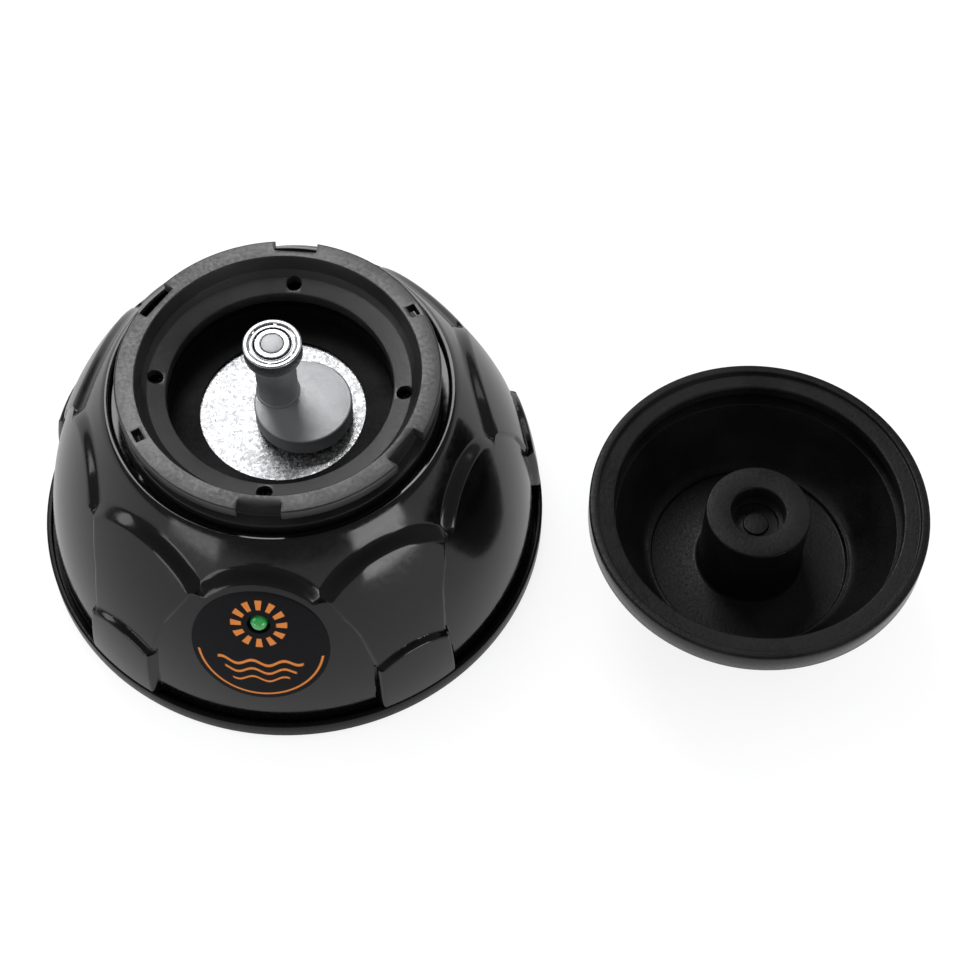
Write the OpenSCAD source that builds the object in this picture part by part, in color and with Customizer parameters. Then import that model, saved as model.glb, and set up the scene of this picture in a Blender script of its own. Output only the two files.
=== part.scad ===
// Orbital bottle shaker: a five-sided domed base with a motor-driven crank, its rubber cup laid beside it.
// Millimetres, +Z up. Origin: centre of the pad that the base stands on. The label faces -Y.

/* [Base plate] */
// Outer diameter of the base plate's flange
base_d = 120; // [116:1:126]
// Height of the flange's top edge above the table
flange_top = 5.6; // [5:0.2:6.4]
// Thickness of the flange's upright wall
flange_wall = 1.2; // [0.9:0.1:1.4]
// Thickness of the base plate's floor
floor_t = 2.4; // [1.8:0.2:2.8]
// Diameter of the non-slip pad under the base
pad_d = 88; // [60:1:92]
// Thickness of the non-slip pad
pad_t = 1; // [0.6:0.1:1.4]

/* [Dome shell] */
// Height of the dome's top rim above the table
dome_top = 56; // [55:0.5:58]
// Outer diameter of the dome's top rim
dome_rim_d = 78.6; // [78:0.2:80]
// How far the dome's side bulges past a straight cone
dome_bulge = 3; // [2:0.2:3.6]
// Thickness of the dome's wall
dome_wall = 2.4; // [1.8:0.1:3]
// Width of the groove between the dome and the flange
groove_w = 1.2; // [0.9:0.1:1.6]
// How far the panels stand out of the neck
panel_rise = 0.9; // [0.5:0.1:1.2]
// How far the narrow panels stand out past the wide ones
rib_rise = 0.5; // [0.3:0.1:0.8]
// How far the foot of a narrow panel stands out past the rest of it
foot_rise = 0.9; // [0.5:0.1:1]
// Height at which the panels' arches start
arch_z = 42.5; // [40:0.5:44]
// Height of the arches' crowns
arch_top = 49.6; // [48:0.2:51]
// Width of the trench between the dome's rim and the collar
trench_w = 2; // [1.5:0.1:2.4]
// Thickness of the dome's rim
rim_t = 1.3; // [1:0.1:1.6]
// Thickness of the deck that carries the collar
deck_t = 2.5; // [2:0.1:3]

/* [Bayonet collar] */
// Outer diameter of the collar over its lugs
lug_d = 72.4; // [71:0.2:73]
// Height of the collar's top face above the table
collar_top = 62.1; // [61.5:0.1:64]
// Thickness of the lugs
lug_t = 2.8; // [2:0.1:3]
// How far the lugs stand out of the collar's wall
lug_out = 3; // [2:0.1:3.4]
// Angle that each notch between the lugs takes
notch_angle = 16; // [10:1:20]
// Diameter of the opening inside the collar's ledge
well_d = 50.8; // [48:0.2:51]
// Thickness of the collar's wall at its top face
collar_wall = 1.5; // [1.2:0.1:2.2]
// Height of the ledge's inner edge above the table
ledge_z = 56.4; // [56:0.1:57]
// Diameter of the circle of the four ledge screws
ledge_pcd = 55.8; // [55.4:0.1:56.2]
// Diameter of the ledge's screw holes
ledge_hole_d = 3.6; // [3.3:0.1:3.8]

/* [Motor] */
// Diameter of the motor can
can_d = 38.4; // [36:0.2:39]
// Length of the motor can
can_l = 30; // [26:0.5:31]
// Height of the can's front face above the table
can_face = 46.2; // [45.6:0.1:46.3]
// Diameter of the motor shaft
shaft_d = 3.2; // [3:0.1:4]

/* [Crank and bearing] */
// Diameter of the crank's disc
hub_d = 22; // [20:0.5:23]
// Thickness of the crank's disc
hub_t = 4.8; // [4:0.1:5.4]
// Offset of the disc's centre from the motor shaft
hub_offset = 5.1; // [4:0.1:5.6]
// Offset of the crank pin from the motor shaft, half the stroke
throw = 1.9; // [1.2:0.1:2.4]
// Diameter of the crank's post
post_d = 9.2; // [8:0.1:9.6]
// Height of the crank's post above the disc
post_h = 14.5; // [12:0.5:16]
// Outer diameter of the ball bearing
bearing_d = 13; // [12:0.5:14]
// Bore of the ball bearing
bearing_bore = 5; // [4:0.5:6]
// Width of the ball bearing
bearing_w = 4; // [3.5:0.5:5]
// Number of balls in the bearing
ball_count = 9; // [7:1:10]

/* [Rubber cup] */
// Distance of the cup's centre to the right of the base's centre
cup_x = 109.4; // [104:0.2:120]
// Distance of the cup's centre behind the base's centre
cup_y = -10.4; // [-20:0.2:0]
// How far the cup's rim stands out past the collar's lugs
cup_over = 2.6; // [2:0.1:3.4]
// Height of the cup
cup_h = 35; // [34:0.5:37]
// How far the cup's side bulges past a straight cone
cup_bulge = 0.4; // [0.3:0.1:2]
// Width of the foot ring round the bottle's recess
foot_ring_w = 2.4; // [2:0.1:4]
// Diameter of the cup's mouth inside its lip
cup_mouth_d = 66; // [64:0.2:67]
// Radius of the bowl inside the cup
bowl_r = 33; // [32:0.2:33]
// Height of the bowl's flat floor above the table
bowl_floor = 11.2; // [10.8:0.1:12.4]
// Diameter of the hub in the middle of the bowl
cup_hub_d = 24; // [20:0.5:26]
// How far the hub's face lies below the rim
cup_hub_drop = 2.4; // [1.6:0.1:3.2]
// Bore of the hub, which grips the bearing
cup_bore_d = 12.6; // [12:0.1:13]
// Depth of the recess that takes the bottle
bottle_cup_depth = 8; // [6:0.2:8.6]
// Diameter of the recess that takes the bottle
bottle_cup_d = 40; // [36:0.5:42]

/* [Label and lamp] */
// Diameter of the round label
label_d = 32; // [28:0.5:33]
// Height of the label's centre above the table
label_z = 30.8; // [28:0.2:32]
// Thickness of the label
label_t = 0.5; // [0.3:0.1:0.6]
// Diameter of the lamp
lamp_d = 4; // [3:0.5:4.4]
// Height of the lamp above the table
lamp_z = 38.3; // [36:0.2:39]

/* [Switch and socket] */
// Height of the rocker switch's centre above the table
switch_z = 22; // [20:0.5:24]
// Height of the power socket's centre above the table
socket_z = 13.6; // [13:0.2:15]
// Outer diameter of the power socket's flange
socket_flange_d = 11; // [9:0.5:12]
// Bore of the power socket
socket_bore_d = 5.6; // [5.5:0.1:6]
// Angle that the rocker turns between off and on
rocker_turn = 20; // [14:1:22]

/* [Hidden] */
$fn = 72;

// Shared clearances
eps = 0.01;            // overlap that joins two solids of one piece
run_gap = 0.05;        // radial running clearance of a shaft or ball
slip_gap = 0.2;        // clearance of a part pushed into another
cut = 1;               // how far a cutting body passes a face
panels = 5;            // wide panels, and as many narrow ones
pitch = 360 / panels;

// Heights that follow from the sizes above
plate_top = pad_t + floor_t;
deck_top = dome_top - deck_t;
deck_bottom = deck_top - deck_t;
base_r = base_d / 2;
rim_r = dome_rim_d / 2;
foot_r = base_r - flange_wall - groove_w;
trench_r = rim_r - rim_t;
collar_r = trench_r - trench_w;
wall_r = lug_d / 2 - lug_out;
well_r = well_d / 2;
mouth_r = wall_r - collar_wall;

// Points on the arc from p to q that bulges outwards by s
function arc(p, q, s, n = 10) = let (
  d = q - p, half = norm(d) / 2, r = (half * half + s * s) / (2 * s), m = (p + q) / 2,
  nrm = [d[1], -d[0]] / norm(d), c = m - nrm * (r - s), a = asin(half / r),
  a0 = atan2(nrm[1], nrm[0]))
  [for (i = [0:n]) let (t = a0 - a + 2 * a * i / n) c + r * [cos(t), sin(t)]];

// ---- Dome surfaces: the neck, and the same arc pushed out for the panels
side_foot = [foot_r, flange_top];
side_head = [rim_r, dome_top];
function side(out_foot, out_head, more) =
  arc(side_foot + [out_foot, 0], side_head + [out_head, 0], dome_bulge + more);

neck_side = side(0, 0, 0);
wide_side = side(0.2, panel_rise, panel_rise);
rib_side = side(rib_rise + 0.5, panel_rise, panel_rise + 0.2);
lip_side = side(base_r - 0.3 - foot_r, panel_rise + foot_rise, panel_rise + 0.5);

// Distance of a side's surface from the axis at height z
function side_r(pts, z) = let (
  k = [for (i = [0:len(pts) - 2]) if (pts[i][1] <= z && pts[i + 1][1] > z) i][0],
  a = pts[k], b = pts[k + 1])
  a[0] + (b[0] - a[0]) * (z - a[1]) / (b[1] - a[1]);

// Slope of a side at height z: the angle of its outward normal above level
function side_tilt(pts, z) = let (h = 4)
  atan2(side_r(pts, z - h) - side_r(pts, z + h), 2 * h);

// Distance from the axis at which a panel's prism starts, inside the neck
panel_root = 27;
module turned(pts, inner = 20) {
  rotate_extrude() polygon(concat(pts, [[inner, pts[len(pts) - 1][1]], [inner, pts[0][1]]]));
}

// A panel: the turned surface, kept inside an outline that is drawn looking at the dome's side
module panel(pts, angle) {
  intersection() {
    turned(pts);
    rotate([0, 0, angle]) translate([panel_root, 0, 0]) rotate([90, 0, 90])
      linear_extrude(base_r) children();
  }
}

// Half widths of the panels at these heights, from below their foot to the start of the arch
panel_h = [flange_top - cut, 21, 32, arch_z];
rib_w = [10.4, 9.7, 11.6, 16];
wide_w = [26.4, 26, 22, 13.4];
wide_crown = arch_top - 0.6;
lip_z = 20.6;
lip_crown = 24.2;
arch_steps = 12;

// An outline: its right side from the foot up, a round arch, and the left side back down
module outline(w, h, crown) {
  n = len(w) - 1;
  right = [for (i = [0:n]) [w[i], h[i]]];
  left = [for (i = [n:-1:0]) [-w[i], h[i]]];
  crown_arc = arc([w[n], h[n]], [-w[n], h[n]], crown - h[n], arch_steps);
  polygon(concat(right, [for (i = [1:arch_steps - 1]) crown_arc[i]], left));
}

module rib_outline() { outline(rib_w, panel_h, arch_top); }
module wide_outline() { outline(wide_w, panel_h, wide_crown); }
module lip_outline() { outline([rib_w[0], rib_w[1]], [panel_h[0], lip_z], lip_crown); }

// Angles of the panels, seen from above; the label's panel faces -Y
function wide_angle(i) = -90 + pitch * i;
function rib_angle(i) = -90 + pitch * (i + 0.5);
function seam_angle(i) = -90 + pitch * (i + 0.25);

// ---- Places on the dome's side
module on_side(angle, pts, z) {
  rotate([0, 0, angle]) translate([side_r(pts, z), 0, z]) rotate([0, 90 - side_tilt(pts, z), 0])
    children();
}
label_angle = wide_angle(0);
switch_angle = wide_angle(3);
socket_angle = rib_angle(2);
module at_label() { on_side(label_angle, wide_side, label_z) children(); }
module at_lamp() { on_side(label_angle, wide_side, lamp_z) children(); }
module at_switch() { on_side(switch_angle, wide_side, switch_z) children(); }
module at_socket() {
  rotate([0, 0, socket_angle]) translate([side_r(lip_side, socket_z), 0, socket_z])
    rotate([0, 90, 0]) children();
}

// ---- Screws
screw_d = 3;
screw_head_d = 5.6;
case_screw_l = 12;
boss_d = 7;
case_screw_r = 49;
screw_rim = 0.3;
module countersunk(l) {
  cylinder(d = screw_head_d, h = screw_rim);
  translate([0, 0, screw_rim - eps])
    cylinder(d1 = screw_head_d, d2 = screw_d, h = (screw_head_d - screw_d) / 2);
  cylinder(d = screw_d, h = l);
}
module at_case_screws() {
  for (i = [0:panels - 1]) rotate([0, 0, seam_angle(i)])
    translate([case_screw_r, 0, 0]) children();
}
module at_ledge() {
  for (i = [0:3]) rotate([0, 0, 90 * i]) translate([ledge_pcd / 2, 0, 0]) children();
}
module cross_slot(d, depth) {
  for (a = [0, 90]) rotate([0, 0, a]) translate([-d / 2, -0.4, -eps]) cube([d, 0.8, depth + eps]);
}

// ---- Base
module non_slip_pad() {
  color("#202020") cylinder(d = pad_d, h = pad_t);
}

module base_plate() {
  color("#1a1a1c") difference() {
    union() {
      translate([0, 0, pad_t]) cylinder(r = base_r, h = floor_t);
      rotate_extrude() polygon([[base_r - flange_wall, pad_t + 1], [base_r, pad_t + 1],
        [base_r, flange_top - 0.4], [base_r - 0.4, flange_top],
        [base_r - flange_wall, flange_top]]);
    }
    at_case_screws() {
      translate([0, 0, pad_t - cut]) cylinder(d = screw_d + 2 * slip_gap, h = floor_t + 2 * cut);
      translate([0, 0, pad_t - cut])
        cylinder(d = screw_head_d + 2 * slip_gap, h = cut + screw_rim + slip_gap);
      translate([0, 0, pad_t + screw_rim + slip_gap - eps]) cylinder(d1 = screw_head_d + 2 * slip_gap,
        d2 = screw_d + 2 * slip_gap, h = (screw_head_d - screw_d) / 2);
    }
  }
}

module case_screws() {
  color("#8a8c90") translate([0, 0, pad_t + 2 * slip_gap - eps]) at_case_screws() difference() {
    countersunk(case_screw_l);
    cross_slot(3, 1);
  }
}

// The wall's foot stands on the base plate, inside the flange
module dome_solid() {
  turned(concat([[foot_r, plate_top]], neck_side));
  for (i = [0:panels - 1]) {
    panel(wide_side, wide_angle(i)) wide_outline();
    panel(rib_side, rib_angle(i)) rib_outline();
    panel(lip_side, rib_angle(i)) lip_outline();
  }
}

inner_side = arc(side_foot - [dome_wall, 0], [rim_r - dome_wall, dome_top], dome_bulge);
module dome_hollow() {
  intersection() {
    turned(concat([[foot_r - dome_wall, plate_top - cut]], inner_side), 0);
    cylinder(r = base_r, h = deck_bottom);
  }
}

// Screw bosses, each with a web to the wall
boss_h = 20;
web_t = 2;
module bosses() {
  intersection() {
    translate([0, 0, plate_top]) at_case_screws() {
      cylinder(d = boss_d, h = boss_h);
      translate([0, -web_t / 2, 0]) cube([base_r, web_t, boss_h]);
    }
    turned([for (p = concat([[foot_r - dome_wall, plate_top]], inner_side)) p + [dome_wall / 4, 0]], 0);
  }
}

switch_pad = [17, 13, 6];
module dome_shell() {
  color("#141416") difference() {
    union() {
      difference() {
        union() {
          dome_solid();
          at_switch() translate([-switch_pad[0] / 2, -switch_pad[1] / 2, 1.2 - switch_pad[2]])
            cube(switch_pad);
        }
        dome_hollow();
        // Trench round the collar
        translate([0, 0, deck_top]) cylinder(r = trench_r, h = deck_t + cut);
        translate([0, 0, deck_bottom - cut]) cylinder(r = well_r + 0.3, h = deck_t + 2 * cut);
      }
      bosses();
    }
    translate([0, 0, plate_top - cut]) at_case_screws()
      cylinder(d = screw_d + 2 * eps, h = case_screw_l + cut);
    translate([0, 0, deck_bottom - cut]) at_ledge()
      cylinder(d = ledge_screw_d + 2 * slip_gap, h = deck_t + 2 * cut);
    at_lamp() translate([0, 0, -10]) cylinder(d = lamp_hole_d, h = 20);
    at_socket() translate([0, 0, -20]) cylinder(d = socket_body_d + 2 * slip_gap, h = 40);
    at_socket() translate([0, 0, -socket_seat]) cylinder(d = socket_flange_d + 2 * slip_gap, h = 10);
    at_socket() translate([0, 0, -socket_seat - socket_wall - 20])
      cylinder(d = socket_nut_d + 1, h = 20);
    at_switch() translate([-switch_body[0] / 2 - slip_gap, -switch_body[1] / 2 - slip_gap, -20])
      cube([switch_body[0] + 2 * slip_gap, switch_body[1] + 2 * slip_gap, 40]);
  }
}

// ---- Collar
flange_t = ledge_z - deck_top - 0.4;
lock_w = 4.6;
module ring_sector(r0, r1, z, h, a0, a1) {
  translate([0, 0, z]) rotate([0, 0, a0]) rotate_extrude(angle = a1 - a0)
    translate([r0, 0]) square([r1 - r0, h]);
}
open_notches = [-90, -30, 90, 150];
locked_notches = [30, 210];
module bayonet_collar() {
  color("#26272a") difference() {
    union() {
      rotate_extrude() polygon([[well_r, deck_top], [collar_r, deck_top], [collar_r, deck_top + flange_t],
        [wall_r, deck_top + flange_t], [wall_r, collar_top], [mouth_r, collar_top],
        [mouth_r - 1.1, ledge_z + 2.4], [mouth_r - 2.2, ledge_z + 0.9], [well_r, ledge_z]]);
      translate([0, 0, collar_top - lug_t]) difference() {
        cylinder(d = lug_d, h = lug_t);
        translate([0, 0, -cut]) cylinder(r = wall_r - eps, h = lug_t + 2 * cut);
      }
    }
    for (a = open_notches) ring_sector(wall_r, collar_r + cut, collar_top - lug_t - cut / 2, lug_t + cut,
      a - notch_angle / 2, a + notch_angle / 2);
    // Slots of the two locked notches
    for (a = locked_notches) rotate([0, 0, a + 3])
      translate([wall_r - 0.2, -lock_w / 2 + 1, collar_top - lug_t - cut]) cube([2, lock_w - 1.4, lug_t + 2 * cut]);
    at_ledge() {
      translate([0, 0, deck_top - cut]) cylinder(d = ledge_screw_d + slip_gap, h = 10);
      translate([0, 0, deck_top + ledge_seat]) cylinder(d = ledge_hole_d, h = 10);
    }
  }
}

ledge_screw_d = 2.6;
ledge_seat = 0.8;
ledge_head_t = 0.9;
ledge_screw_l = 11;
module collar_screws() {
  color("#232325") translate([0, 0, deck_top + ledge_seat]) at_ledge() difference() {
    union() {
      cylinder(d = ledge_hole_d - 2 * run_gap, h = ledge_head_t);
      translate([0, 0, -ledge_screw_l]) cylinder(d = ledge_screw_d, h = ledge_screw_l + eps);
    }
    translate([0, 0, ledge_head_t]) mirror([0, 0, 1]) cross_slot(2.4, 0.5);
  }
}

// ---- Motor and its mount
can_r = can_d / 2;
mount_wall = 2;
lip_t = 0.8;
lip_over = 0.4;
mount_floor_t = 2.4;
can_bottom = can_face - can_l;
sleeve_l = 14;
mount_flange_t = 2.4;
clamp_r = 25.5;
clamp_boss_d = 6.4;
clamp_screw_d = 2.6;
clamp_gap = 0.3;
module mount_body() {
  // Flange under the deck
  translate([0, 0, deck_bottom - mount_flange_t]) cylinder(r = ledge_pcd / 2 + 3.6, h = mount_flange_t);
  // Wall of the well and its floor
  translate([0, 0, can_face + lip_t - mount_floor_t]) cylinder(r = well_r + mount_wall,
    h = deck_bottom - can_face - lip_t + mount_floor_t);
  // Sleeve round the can
  translate([0, 0, can_face - sleeve_l]) cylinder(r = can_r + slip_gap + mount_wall, h = sleeve_l);
  translate([0, 0, deck_bottom - 11]) at_ledge() cylinder(d = boss_d, h = 11);
  // Pillars that carry the clamp bar
  for (s = [-1, 1]) translate([s * clamp_r, 0, can_bottom - clamp_gap])
    cylinder(d = clamp_boss_d, h = can_face - can_bottom);
}
module motor_mount() {
  color("#161618") difference() {
    mount_body();
    translate([0, 0, can_face + lip_t]) cylinder(r = well_r, h = 20);
    translate([0, 0, can_bottom - 10]) cylinder(r = can_r + slip_gap, h = can_face - can_bottom + 10);
    translate([0, 0, can_face - cut]) cylinder(r = can_r - lip_over, h = 3 * cut);
    translate([0, 0, deck_bottom - 9]) at_ledge() cylinder(d = ledge_screw_d + 2 * eps, h = 10);
    for (s = [-1, 1]) translate([s * clamp_r, 0, can_bottom - 5])
      cylinder(d = clamp_screw_d + 2 * eps, h = 15);
  }
}

can_wall = 1;
bush_d = 6.4;
module motor_can() {
  color("#c9ccd0") difference() {
    union() {
      translate([0, 0, can_bottom]) cylinder(d = can_d, h = can_l);
      translate([0, 0, can_face - eps]) cylinder(d = 10, h = 0.4);
    }
    translate([0, 0, can_bottom - cut]) cylinder(r = can_r - can_wall, h = can_l - can_wall + cut);
    translate([0, 0, can_face - 5]) cylinder(d = bush_d, h = 10);
  }
}

magnet_t = 3;
air_gap = 0.5;
core_l = 17;
core_z = can_bottom + 7.5;
core_r = can_r - can_wall - magnet_t - air_gap;
module motor_magnets() {
  color("#4a4a4e") for (a = [0, 180])
    ring_sector(can_r - can_wall - magnet_t, can_r - can_wall - 0.02, core_z - 1, core_l + 2, a - 62, a + 62);
}
module front_bush() {
  color("#b08a4a") translate([0, 0, can_face - 3]) difference() {
    cylinder(d = bush_d, h = 3.4);
    translate([0, 0, -cut]) cylinder(d = shaft_d + 2 * run_gap, h = 6);
  }
}
bell_t = 2.4;
module end_bell() {
  color("#1c1c1c") difference() {
    union() {
      translate([0, 0, can_bottom]) cylinder(r = can_r - can_wall - 0.02, h = bell_t);
      translate([0, 0, can_bottom - 2]) cylinder(d = bush_d + 4, h = 2 + eps);
    }
    translate([0, 0, can_bottom - 3]) cylinder(d = bush_d, h = 10);
    for (s = [-1, 1]) translate([s * 10 - 1.6, -0.3, can_bottom - cut]) cube([3.2, 0.6, bell_t + 2 * cut]);
  }
}
module rear_bush() {
  color("#b08a4a") translate([0, 0, can_bottom - 2]) difference() {
    cylinder(d = bush_d, h = 2 + bell_t);
    translate([0, 0, -cut]) cylinder(d = shaft_d + 2 * run_gap, h = 8);
  }
}
comm_d = 7;
comm_l = 3.6;
comm_z = can_bottom + bell_t + 0.3;
brush = [4, 2.5, 2.4];
module motor_brushes() {
  color("#303033") for (s = [-1, 1])
    translate([s > 0 ? comm_d / 2 + run_gap : -comm_d / 2 - run_gap - brush[0], -brush[1] / 2,
      can_bottom + bell_t]) cube(brush);
}
terminal_drop = 4.5;
module motor_terminals() {
  color("#c8a24a") for (s = [-1, 1])
    translate([s * 10 - 1.5, -0.25, can_bottom - terminal_drop]) cube([3, 0.5, terminal_drop + bell_t]);
}
bar_t = 1.2;
clamp_ring_w = 3;
clamp_head_t = 1.8;
clamp_screw_l = 9;
module clamp_bar() {
  color("#a5a8ac") translate([0, 0, can_bottom - clamp_gap - bar_t]) difference() {
    union() {
      translate([-clamp_r - 4, -5, 0]) cube([2 * clamp_r + 8, 10, bar_t]);
      // Ring pressed against the can's rear edge
      cylinder(r = can_r, h = bar_t + clamp_gap);
    }
    translate([0, 0, -cut]) cylinder(r = can_r - clamp_ring_w, h = bar_t + 2 * cut);
    for (s = [-1, 1]) translate([s * clamp_r, 0, -cut])
      cylinder(d = clamp_screw_d + 2 * slip_gap, h = bar_t + 2 * cut);
  }
}
module clamp_screws() {
  color("#8a8c90") for (s = [-1, 1])
    translate([s * clamp_r, 0, can_bottom - clamp_gap - bar_t - clamp_head_t]) difference() {
      union() {
        cylinder(d = screw_head_d, h = clamp_head_t);
        translate([0, 0, clamp_head_t - eps]) cylinder(d = clamp_screw_d, h = clamp_screw_l);
      }
      cross_slot(3, 1);
    }
}

// ---- Rotor
shaft_up = 9;
module motor_shaft() {
  color("#b9bcc0") translate([0, 0, can_bottom - 2.6]) cylinder(d = shaft_d, h = can_l + 2.6 + 1.1 + shaft_up);
}
module armature_core() {
  color("#7d7f84") difference() {
    translate([0, 0, core_z]) cylinder(r = core_r, h = core_l);
    translate([0, 0, core_z - cut]) cylinder(d = shaft_d + 2 * eps, h = core_l + 2 * cut);
    for (i = [0:4]) rotate([0, 0, 72 * i + 36]) translate([core_r - 2.6, -0.8, core_z - cut])
      cube([4, 1.6, core_l + 2 * cut]);
  }
}
module armature_windings() {
  color("#b56a32") for (z = [core_z - 2.2, core_z + core_l]) difference() {
    translate([0, 0, z]) cylinder(r = core_r - 2, h = 2.2);
    translate([0, 0, z - cut]) cylinder(r = 4.6, h = 5);
  }
}
module commutator() {
  color("#c27a45") difference() {
    translate([0, 0, comm_z]) cylinder(d = comm_d, h = comm_l);
    translate([0, 0, comm_z - cut]) cylinder(d = shaft_d + 2 * eps, h = comm_l + 2 * cut);
  }
}

// ---- Crank
hub_z = can_face + lip_t + 0.3;
hub_top = hub_z + hub_t;
bearing_z = hub_top + post_h;
hub_dir = -9;
pin_dir = 117;
pin_x = throw * cos(pin_dir);
pin_y = throw * sin(pin_dir);
seat_step = 0.8;
module at_pin() { translate([pin_x, pin_y, 0]) children(); }
set_screw_dir = 100;
set_screw_l = 4;
set_screw_d = 3;
module eccentric_crank() {
  color("#a9abad") difference() {
    union() {
      rotate([0, 0, hub_dir]) translate([hub_offset, 0, hub_z]) cylinder(d = hub_d, h = hub_t);
      at_pin() {
        translate([0, 0, hub_top - eps]) cylinder(d = post_d, h = post_h - seat_step + eps);
        translate([0, 0, hub_top - eps]) cylinder(d1 = post_d + 0.8, d2 = post_d, h = 0.6);
        translate([0, 0, hub_top + post_h - seat_step - eps]) cylinder(d = bearing_bore + 1.6, h = seat_step + eps);
        translate([0, 0, bearing_z - eps]) cylinder(d = bearing_bore - 0.04, h = bearing_w + 0.1);
      }
    }
    translate([0, 0, hub_z - cut]) cylinder(d = shaft_d + 2 * eps, h = shaft_up + cut + 0.4);
    rotate([0, 0, set_screw_dir]) translate([0, 0, hub_z + hub_t / 2]) rotate([0, 90, 0])
      cylinder(d = set_screw_d, h = hub_d);
  }
}
module set_screw() {
  color("#55565a") rotate([0, 0, set_screw_dir]) translate([shaft_d / 2 + 0.02, 0, hub_z + hub_t / 2])
    rotate([0, 90, 0]) difference() {
      cylinder(d = set_screw_d, h = set_screw_l);
      translate([0, 0, set_screw_l - 1.5]) cylinder(d = 1.5, h = 2, $fn = 6);
    }
}

// ---- Ball bearing on the crank pin
inner_d = bearing_bore + 2.8;
outer_bore = bearing_d - 2;
ball_d = (outer_bore - inner_d) / 2 - 2 * run_gap;
module tube(d_out, d_in, h) {
  difference() {
    cylinder(d = d_out, h = h);
    translate([0, 0, -cut]) cylinder(d = d_in, h = h + 2 * cut);
  }
}
module bearing_inner_ring() {
  color("#d6d8da") at_pin() translate([0, 0, bearing_z]) tube(inner_d, bearing_bore, bearing_w);
}
module bearing_balls() {
  color("#e4e6e8") at_pin() for (i = [0:ball_count - 1]) rotate([0, 0, 360 * i / ball_count])
    translate([(inner_d + outer_bore) / 4, 0, bearing_z + bearing_w / 2]) sphere(d = ball_d, $fn = 24);
}
module bearing_outer_ring() {
  color("#d0d2d4") at_pin() translate([0, 0, bearing_z]) tube(bearing_d, outer_bore, bearing_w);
}
shield_t = 0.3;
module bearing_shields() {
  color("#bcbec0") at_pin() for (z = [bearing_z + 0.1, bearing_z + bearing_w - shield_t - 0.1])
    translate([0, 0, z]) tube(outer_bore - 0.02, inner_d + 0.5, shield_t);
}

// ---- Label and lamp
label_skin = [for (p = wide_side) p + [label_t, 0]];
module label_disc() {
  color("#2b2b2d") difference() {
    intersection() {
      turned(label_skin);
      at_label() translate([0, 0, -20]) cylinder(d = label_d, h = 40);
    }
    turned([for (p = wide_side) p + [0.01, 0]], 0);
    at_lamp() translate([0, 0, -10]) cylinder(d = lamp_hole_d, h = 20);
  }
}
lamp_hole_d = lamp_d + 1.2;
lamp_out = 1.3;
lamp_flange_t = 0.8;
// The flange bears on the inside of the dome's wall
lamp_wall = (side_r(wide_side, lamp_z) - side_r(inner_side, lamp_z)) * cos(side_tilt(wide_side, lamp_z));
lamp_flange_z = -lamp_wall - slip_gap - lamp_flange_t;
module lamp() {
  color("#2f8a3a") at_lamp() {
    translate([0, 0, lamp_out - lamp_d / 2]) sphere(d = lamp_d, $fn = 48);
    translate([0, 0, lamp_flange_z]) cylinder(d = lamp_d, h = lamp_out - lamp_d / 2 - lamp_flange_z);
    translate([0, 0, lamp_flange_z]) cylinder(d = lamp_hole_d + 1.6, h = lamp_flange_t);
  }
}
board = [12, 14, 1.2];
module lamp_board() {
  color("#2d5b34") at_lamp() translate([-board[0] / 2, -board[1] / 2, lamp_flange_z - board[2]]) cube(board);
}

// ---- Power socket
socket_body_d = 8;
socket_l = 14;
socket_seat = 1.4;
socket_wall = 3;
socket_nut_d = 11;
module power_socket() {
  color("#1b1b1b") at_socket() difference() {
    union() {
      translate([0, 0, -socket_seat]) cylinder(d = socket_flange_d, h = 1.6);
      translate([0, 0, -socket_seat - socket_l + 1]) cylinder(d = socket_body_d, h = socket_l);
    }
    translate([0, 0, -10]) cylinder(d = socket_bore_d, h = 20);
  }
}
module socket_contact_pin() {
  color("#c9cbce") at_socket() translate([0, 0, -10]) {
    cylinder(d = 2, h = 8.6);
    translate([0, 0, 8.6 - eps]) cylinder(d1 = 2, d2 = 1, h = 0.8);
  }
}
module socket_nut() {
  color("#b9bbbe") at_socket() translate([0, 0, -socket_seat - socket_wall - 2]) difference() {
    cylinder(d = socket_nut_d, h = 2, $fn = 6);
    translate([0, 0, -cut]) cylinder(d = socket_body_d, h = 4);
  }
}

// ---- Rocker switch
switch_body = [13, 8.4, 10];
bezel = [15, 10.4, 1.6];
rocker_w = 7;
rocker_l = 10.6;
rocker_room = 0.7;
pivot_d = 1.8;
rocker_deep = 3;
switch_face = 1.2;
pivot_up = switch_face + 0.3;
module switch_housing() {
  color("#171717") at_switch() difference() {
    union() {
      translate([-bezel[0] / 2, -bezel[1] / 2, switch_face]) cube(bezel);
      translate([-switch_body[0] / 2, -switch_body[1] / 2, switch_face - switch_body[2]])
        cube([switch_body[0], switch_body[1], switch_body[2] + eps]);
    }
    translate([-rocker_l / 2 - rocker_room, -rocker_w / 2 - 0.15, pivot_up - rocker_deep - 2.2])
      cube([rocker_l + 2 * rocker_room, rocker_w + 0.3, 20]);
    translate([0, 0, pivot_up]) rotate([90, 0, 0])
      cylinder(d = pivot_d + 2 * run_gap, h = rocker_w + 0.8, center = true);
  }
}
module rocker() {
  color("#8c1f1c") at_switch() translate([0, 0, pivot_up]) rotate([0, rocker_turn / 2, 0]) {
    rotate([90, 0, 0]) linear_extrude(rocker_w, center = true)
      polygon([[-rocker_l / 2, 2], [0, 1.4], [rocker_l / 2, 2], [rocker_l / 2 - 1.2, -rocker_deep + 1],
        [-rocker_l / 2 + 1.2, -rocker_deep + 1]]);
    rotate([90, 0, 0]) cylinder(d = pivot_d, h = rocker_w + 0.6, center = true);
  }
}
blade = [0.8, 4.8, 5];
blade_x = 3.2;
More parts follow.
